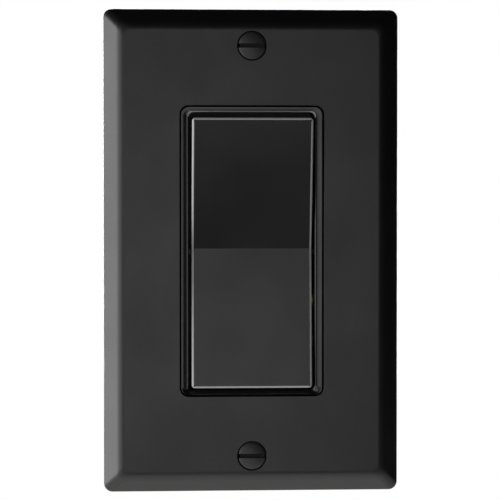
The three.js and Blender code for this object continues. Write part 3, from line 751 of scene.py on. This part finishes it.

# %% [markdown]
# ### Its rim and its resting tilt
# The rim's faces are told from the rest by where they lie: within the edge's radius of both the face
# and the side. They take the painted highlight, and then the finished paddle is tilted to rest.

# %% Its rim and its resting tilt
def painted_highlight_rim(part):
    """Marks the faces of the paddle's rounded edge for the painted highlight."""
    for face in part.data.polygons:
        points = [part.data.vertices[i].co for i in face.vertices]
        heights = [p.y - face_depth(p.z) for p in points]
        insets = [min(PADDLE_X - abs(p.x), top[1].z - abs(p.z)) for p in points]
        if max(heights) < EDGE * 1.01 and min(insets) < EDGE * 0.9 and max(insets) < EDGE * 1.01:
            face.material_index = 1


drill = bar(circle(0, 0, bore[1].x, FINE), "y", (bore[0].y, BORE_END))
rocker = joined(joined(paddle(), underside()), [drill], "DIFFERENCE")
# the second finish is the painted highlight on the rim
for material in (satin_paddle, painted_highlight_edge):
    rocker.data.materials.append(material)
painted_highlight_rim(rocker)
rocker.data.transform(tilted(TILT))
dress(rocker, "paddle", [], ["rocker_paddle"])

# %% [markdown]
# ## Slotted screws
# A screw is turned, so it could be a spun profile, but its slot and its thread are not round. Here the
# body below the slot is made of full rings, and the head above the slot's floor of two half discs with
# a straight side each, so the slot is true without a boolean cut. The thread is a grid whose radius
# rises and falls once per pitch and drifts by one pitch per turn.

# %% Slotted screws
ARC, SIDE = 16, 3


def screw_angles(radius, half_slot):
    """Angles round a screw, with one at each corner of the slot."""
    start = math.asin(half_slot / radius)
    upper = [start + (math.pi - 2 * start) * i / ARC for i in range(ARC + 1)]
    left = [math.pi - start + 2 * start * i / SIDE for i in range(1, SIDE)]
    lower = [angle + math.pi for angle in upper]
    right = [2 * math.pi - start + 2 * start * i / SIDE for i in range(1, SIDE)]
    return upper + left + lower + right


def hexagon(angle):
    """How much further out a hexagon's flat side lies than the circle inside it."""
    return 1 / math.cos((angle + math.pi / 6) % (math.pi / 3) - math.pi / 6)


def turned_ring(radius, depth, angles, faceted=False):
    """A ring round a screw's axis, or round a hexagon, so far below the top of its head."""
    reaches = [radius * (hexagon(a) if faceted else 1) for a in angles]
    return [Vector((r * math.cos(a), r * math.sin(a), -depth)) for r, a in zip(reaches, angles)]

# %% [markdown]
# ### The thread
# Each ring of the shank is cut in by a wave that turns with the angle, so the stack of rings winds up
# to a thread. It fades out at both ends, as a die leaves it, and the tip is chamfered.

# %% The thread
THREAD_DEPTH = 0.61  # of the pitch
ROWS_A_TURN = 8
PLAIN_NECK = 0.3 * MM


def thread_rings(shank, pitch, start, tip, angles):
    """The shank's rings, from its tip up to where the head starts."""
    rings = []
    rows = int((tip - start) / pitch * ROWS_A_TURN)
    for row in range(rows + 1):
        depth = tip - (tip - start - PLAIN_NECK) * row / rows
        fade = min(1, (tip - depth) / pitch, (depth - start) / pitch)
        turns = [(-depth / pitch - a / (2 * math.pi)) % 1 for a in angles]
        cut = [THREAD_DEPTH * pitch * fade * (0.5 + 0.5 * math.cos(2 * math.pi * turn)) for turn in turns]
        chamfer = max(0, 1 - (tip - depth) / (0.6 * pitch)) * 0.5 * pitch
        radii = [shank - c - chamfer for c in cut]
        rings.append([Vector((r * math.cos(a), r * math.sin(a), -depth)) for r, a in zip(radii, angles)])
    return rings

# %% [markdown]
# ### The head and the whole screw
# The head's profile is split where the slot's floor meets it. Below, rings go all the way round. Above,
# each half disc is built up by itself and closed with a flat top.

# %% The head and the whole screw
def half_head(mesh, last, above, turn, half_slot, faceted):
    """One half of a head beside the slot, from the edge of the slot's floor up."""
    for radius, depth in reversed(above):
        start = math.asin(min(0.98, half_slot / radius))
        wanted = [math.pi * turn + start + (math.pi - 2 * start) * i / ARC for i in range(ARC + 1)]
        row = [mesh.verts.new(point) for point in turned_ring(radius, depth, wanted, faceted)]
        for i in range(ARC + 1):
            j = (i + 1) % (ARC + 1)
            mesh.faces.new((last[i], last[j], row[j], row[i]))
        last = row
    mesh.faces.new(last)


def slotted_screw(name, place, head, slot, thread, six_sided=False):
    """head: (radius, depth) from its top down. slot: half width, depth. thread: radius, pitch, tip depth."""
    half_slot, slot_depth = slot
    shank, pitch, tip = thread
    above = [(r, d) for r, d in head if d < slot_depth]
    below = [(r, d) for r, d in head if d > slot_depth]
    share = (slot_depth - above[-1][1]) / (below[0][1] - above[-1][1])
    floor_radius = above[-1][0] + (below[0][0] - above[-1][0]) * share
    angles = screw_angles(floor_radius, half_slot)
    mesh = bmesh.new()
    rings = thread_rings(shank, pitch, head[-1][1], tip, angles)
    for radius, depth in reversed(below):
        rings.append(turned_ring(radius, depth, angles, six_sided and radius > 1.2 * shank))
    rings.append(turned_ring(floor_radius, slot_depth, angles, six_sided))
    body = loft(mesh, rings)
    mesh.faces.new(body[0])
    rim = body[-1]
    halves = [rim[:ARC + 1], rim[ARC + SIDE:2 * ARC + SIDE + 1]]
    slot_floor = [halves[0][0], halves[0][-1]] + rim[ARC + 1:ARC + SIDE] + [halves[1][0], halves[1][-1]]
    # the slot's floor takes the screw's second finish, which on the plate screws is painted shade
    mesh.faces.new(slot_floor + rim[2 * ARC + SIDE + 1:]).material_index = 1
    for turn, edge in enumerate(halves):
        half_head(mesh, edge, above, turn, half_slot, six_sided)
    mesh.transform(place)
    return to_object(name, mesh)


def head_out(outward, across, top):
    """The frame of a screw whose head's top is at a place, with its slot along across."""
    outward, across = Vector(outward), Vector(across)
    turn = Matrix((across, outward.cross(across), outward)).transposed().to_4x4()
    return Matrix.Translation(top) @ turn


def dome(radius, height, steps=6):
    """A domed top from near its middle to its edge, as radius and depth."""
    shares = [0.2 + 0.8 * i / steps for i in range(steps + 1)]
    return [(radius * share, height * share ** 2) for share in shares]

# %% [markdown]
# ### The screws of the plate and the box
# The plate hangs on two 6-32 screws with oval heads: a low dome over a cone that sinks in the plate.
# The strap is held by two 6-32 pan heads. Both threads have 32 turns to the inch.

# %% The screws of the plate and the box
PITCH = 25.4 / 32 * MM
SHANK = 1.75 * MM
OUT, RIGHT, UP = (0, -1, 0), (1, 0, 0), (0, 0, 1)

for end in ("upper", "lower"):
    low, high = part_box("plate_screw_" + end)
    radius, middle = high.x, (low.z + high.z) / 2
    oval = dome(radius - 0.08 * MM, 0.56 * MM) + [(radius, 0.65 * MM), (radius, 0.72 * MM)]
    oval += [(1.85 * MM, 2.2 * MM), (SHANK, 2.4 * MM)]
    screw = slotted_screw("oval_head_screw_" + end, head_out(OUT, RIGHT, (0, low.y, middle)), oval,
                          (0.52 * MM, 1.1 * MM), (SHANK, PITCH, high.y - low.y))
    dress(screw, "body", [black_paint, painted_shade_slot], ["plate_screw_" + end])

for end in ("upper", "lower"):
    low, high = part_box("mounting_screw_" + end)
    radius, middle = high.x, (low.z + high.z) / 2
    pan = dome(radius - 0.15 * MM, 0.3 * MM) + [(radius, 0.5 * MM), (radius, 1.6 * MM), (SHANK, 1.75 * MM)]
    screw = slotted_screw("pan_head_screw_" + end, head_out(OUT, RIGHT, (0, low.y, middle)), pan,
                          (0.55 * MM, 0.9 * MM), (SHANK, PITCH, high.y - low.y))
    dress(screw, "body", [zinc_screw, zinc], ["mounting_screw_" + end])

# %% [markdown]
# ### The wire screws
# Wires are hooked under two broad brass heads on the right and under one green hexagon on the left,
# which is kept for the earth.

# %% The wire screws
WIRE_SLOT = (0.6 * MM, 1.1 * MM)

for side in ("line", "load"):
    low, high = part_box(side + "_terminal_screw")
    centre = (low + high) / 2
    radius = (high.z - low.z) / 2
    binding = dome(radius - 0.2 * MM, 0.35 * MM) + [(radius, 0.6 * MM), (radius, 2.05 * MM)]
    binding += [(1.8 * MM, 2.2 * MM)]
    place = head_out(RIGHT, UP, (high.x, centre.y, centre.z))
    thread = (SHANK, PITCH, high.x - low.x)
    screw = slotted_screw("binding_screw_" + side, place, binding, WIRE_SLOT, thread)
    dress(screw, "body", [brass_screw, brass], [side + "_terminal_screw"])

low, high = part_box("ground_screw")
centre = (low + high) / 2
flat_radius = min(high.z - low.z, high.y - low.y) / 2
washer_head = [(0.8 * MM, 0.0), (flat_radius - 0.35 * MM, 0.0), (flat_radius, 0.3 * MM)]
washer_head += [(flat_radius, 2.4 * MM), (1.9 * MM, 2.6 * MM)]
place = head_out((-1, 0, 0), UP, (low.x, centre.y, centre.z))
thread = (SHANK, PITCH, high.x - low.x)
green = slotted_screw("hexagon_screw", place, washer_head, WIRE_SLOT, thread, six_sided=True)
dress(green, "body", [green_film, green_film], ["ground_screw"])

# %% [markdown]
# ## Stamped and moulded parts behind the wall
# The engineering model already has the true outlines of the strap, the housing and the brass, but its
# round walls are faceted and its edges are knife-sharp. `finer` copies such a part, merges its
# triangles into flats, breaks each edge with a small bevel and smooths the round walls.

# %% Stamped and moulded parts behind the wall
def finer(name, node, body, material, edge_mm):
    mesh = bmesh.new()
    mesh.from_mesh(frame["nodes"][node].data)
    bmesh.ops.remove_doubles(mesh, verts=mesh.verts, dist=0.001 * MM)
    bmesh.ops.dissolve_limit(mesh, angle_limit=math.radians(1), verts=mesh.verts, edges=mesh.edges)
    part = to_object(name, mesh)
    broken = part.modifiers.new("broken_edges", "BEVEL")
    broken.width = edge_mm * MM
    broken.segments = 2
    broken.limit_method = "ANGLE"
    broken.angle_limit = SHARP
    return dress(part, body, [material], [node])

# %% [markdown]
# ### Steel and housing
# The strap and the earth bracket are punched from sheet, which leaves narrow edges. The housing and its
# inner cover are moulded, and a mould needs wider ones. So each kind of part has its own edge width.

# %% Steel and housing
SHEET_EDGE, HOUSING_EDGE, COVER_EDGE = 0.12, 0.25, 0.15  # in millimetres, as all edge widths here
finer("steel_strap", "mounting_strap", "body", zinc, SHEET_EDGE)
finer("housing", "rear_housing", "body", thermoset, HOUSING_EDGE)
finer("arc_cover", "chamber_cover", "body", thermoset, COVER_EDGE)
finer("earth_bracket", "ground_terminal", "body", zinc, SHEET_EDGE)

# %% [markdown]
# ### Brass and clips
# The terminals and the see-saw arm are brass strip, and the clips that grip a pushed-in wire are thin
# spring steel. The arm rides on a body of its own, because it tips when the paddle rocks.

# %% Brass and clips
BRASS_EDGE, CLIP_EDGE = 0.08, 0.04
for side in ("line", "load"):
    finer(side + "_brass", side + "_terminal", "body", brass, BRASS_EDGE)
    finer(side + "_clip", side + "_wire_clip", "body", spring_steel, CLIP_EDGE)
finer("see_saw_arm", "contact_arm", "arm", brass, BRASS_EDGE)

# %% [markdown]
# ### Washers, rivets, buttons and plunger
# What is left is small: fibre washers that keep the box screws from falling out, rivets that hold the
# strap to the housing, two silver buttons that meet when the switch is on, and the acetal plunger.

# %% Washers, rivets, buttons and plunger
FIBRE_EDGE, RIVET_EDGE, BUTTON_EDGE, PLUNGER_EDGE = 0.06, 0.1, 0.15, 0.1
for end in ("upper", "lower"):
    finer("fibre_washer_" + end, "retainer_washer_" + end, "body", fibre, FIBRE_EDGE)
rivets = ["rivet_upper_left", "rivet_upper_right", "rivet_lower_left", "rivet_lower_right", "ground_rivet"]
for node in rivets:
    finer("tubular_" + node, node, "body", zinc, RIVET_EDGE)
finer("fixed_button", "fixed_contact", "body", silver, BUTTON_EDGE)
finer("moving_button", "moving_contact", "arm", silver, BUTTON_EDGE)
finer("nose_plunger", "detent_plunger", "plunger", acetal, PLUNGER_EDGE)

# %% [markdown]
# ## The coil spring
# The spring that presses the plunger is a helix with closed ends. It is swept along its true coils
# and rides with the paddle.

# %% The coil spring
coil_low, coil_high = reach("detent_spring", place=level)
WIRE = 0.125 * MM
COILS, AROUND, ALONG = 6, 8, 40
told("spring radius and ends", coil_high.x, coil_low.y, coil_high.y)


def coil_spring():
    radius = coil_high.x - WIRE
    ends = coil_low.y + WIRE, coil_high.y - WIRE
    middle = (coil_low.z + coil_high.z) / 2
    rings = []
    for step in range(COILS * ALONG + 1):
        turn = step / ALONG
        rise = min(max((turn - 1) / (COILS - 2), 0), 1)
        angle = 2 * math.pi * turn
        outward = Vector((math.cos(angle), 0, math.sin(angle)))
        centre = outward * radius + Vector((0, ends[0] + (ends[1] - ends[0]) * rise, middle))
        rings.append([centre + outward * u + Vector((0, v, 0)) for u, v in circle(0, 0, WIRE, AROUND)])
    return capped("coil_spring", rings)


spring = coil_spring()
spring.data.transform(tilted(TILT))
dress(spring, "paddle", [spring_steel], ["detent_spring"])
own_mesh(spring)

# %% [markdown]
# ## Camera
# The switch is seen square on, a touch from its left, through a long lens: its sides hardly converge.

# %% Camera
DISTANCE = 0.55
FIELD = 0.1191  # height of the view at the switch
AZIMUTH = math.radians(-3.7)
HEIGHT = math.radians(1.8)

camera_data = bpy.data.cameras.new("camera")
camera_data.sensor_width = 36
camera_data.lens = camera_data.sensor_width * DISTANCE / FIELD
camera_data.shift_x = -0.0011
camera_data.shift_y = 0.001
camera = bpy.data.objects.new("camera", camera_data)
bpy.context.scene.collection.objects.link(camera)
along = DISTANCE * math.cos(HEIGHT)
camera.location = (along * math.sin(AZIMUTH), -along * math.cos(AZIMUTH), DISTANCE * math.sin(HEIGHT))
camera.rotation_euler = (math.pi / 2 - HEIGHT, 0, AZIMUTH)
bpy.context.scene.camera = camera
bpy.context.scene.view_settings.view_transform = "Standard"
told("camera distance and height of the view", DISTANCE, FIELD)

# %% [markdown]
# ## Studio
# Black plastic shows little of its own colour: each face is as bright as the light that it mirrors. So
# one soft light stands near the lens for the flat face, two stand on the left for the left bevel, and a
# weak one lies below for the lower bevel. The right and upper bevels mirror nothing and stay black.
# Three lights behind the wall show the back. The surroundings are white to the camera, but they give the
# switch hardly any light.

# %% Studio
def softbox(name, place, size, power):
    """A rectangular soft light that the camera doesn't see, aimed at the switch."""
    data = bpy.data.lights.new(name, "AREA")
    data.shape = "RECTANGLE"
    data.size, data.size_y = size
    data.energy = power
    light = bpy.data.objects.new(name, data)
    light.location = place
    light.rotation_euler = (Vector((0, 0, 0)) - Vector(place)).to_track_quat("-Z", "Y").to_euler()
    light.visible_camera = False
    bpy.context.scene.collection.objects.link(light)


softbox("front_soft", (-0.06, -0.9, -0.035), (0.45, 0.38), 0.88)
softbox("left_soft", (-0.5, -0.02, 0.0), (0.35, 0.5), 2.6)
softbox("left_front_soft", (-0.46, -0.386, 0.0), (0.4, 0.5), 1.3)
softbox("below_soft", (0.0, -0.1, -0.28), (0.4, 0.34), 0.21)
softbox("back_left_soft", (-0.32, 0.75, 0.05), (0.3, 0.3), 6)
softbox("back_right_soft", (0.32, 0.75, 0.05), (0.3, 0.3), 6)
softbox("back_top_soft", (0.0, 0.8, 0.4), (0.4, 0.3), 8)

world = bpy.data.worlds.new("white_studio")
bpy.context.scene.world = world
world.use_nodes = True
world.node_tree.nodes.clear()
seen = put(world.node_tree, "ShaderNodeLightPath")
strength = put(world.node_tree, "ShaderNodeMapRange", {"To Min": 0.008, "To Max": 1.0},
               {"Value": seen.outputs["Is Camera Ray"]})
backdrop = put(world.node_tree, "ShaderNodeBackground", {"Color": (1, 1, 1, 1)},
               {"Strength": strength.outputs["Result"]})
put(world.node_tree, "ShaderNodeOutputWorld", links={"Surface": backdrop.outputs["Background"]})

# %% [markdown]
# ### Floor
# A wide disc of pale matt paint lies below the switch. It isn't part of the object, so it is staged,
# and it throws a little light back up to the lower bevel.

# %% Floor
FLOOR_RADIUS = 0.7
FLOOR_HEIGHT = -0.3

disc = bmesh.new()
fill(disc, loft(disc, [round_ring(0, 0, FLOOR_RADIUS, 0, 96)])[0])
floor = to_object("pale_floor", disc)
floor.data.transform(Matrix.Translation((0, 0, FLOOR_HEIGHT)) @ Matrix.Rotation(-math.pi / 2, 4, "X"))
floor.data.materials.append(shade("pale_matt_paint", {"Base Color": linear("#d2d2d0"), "Roughness": 0.9})[0])
floor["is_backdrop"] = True

visual_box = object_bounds()
told("visual box from", *visual_box[0])
told("visual box to", *visual_box[1])
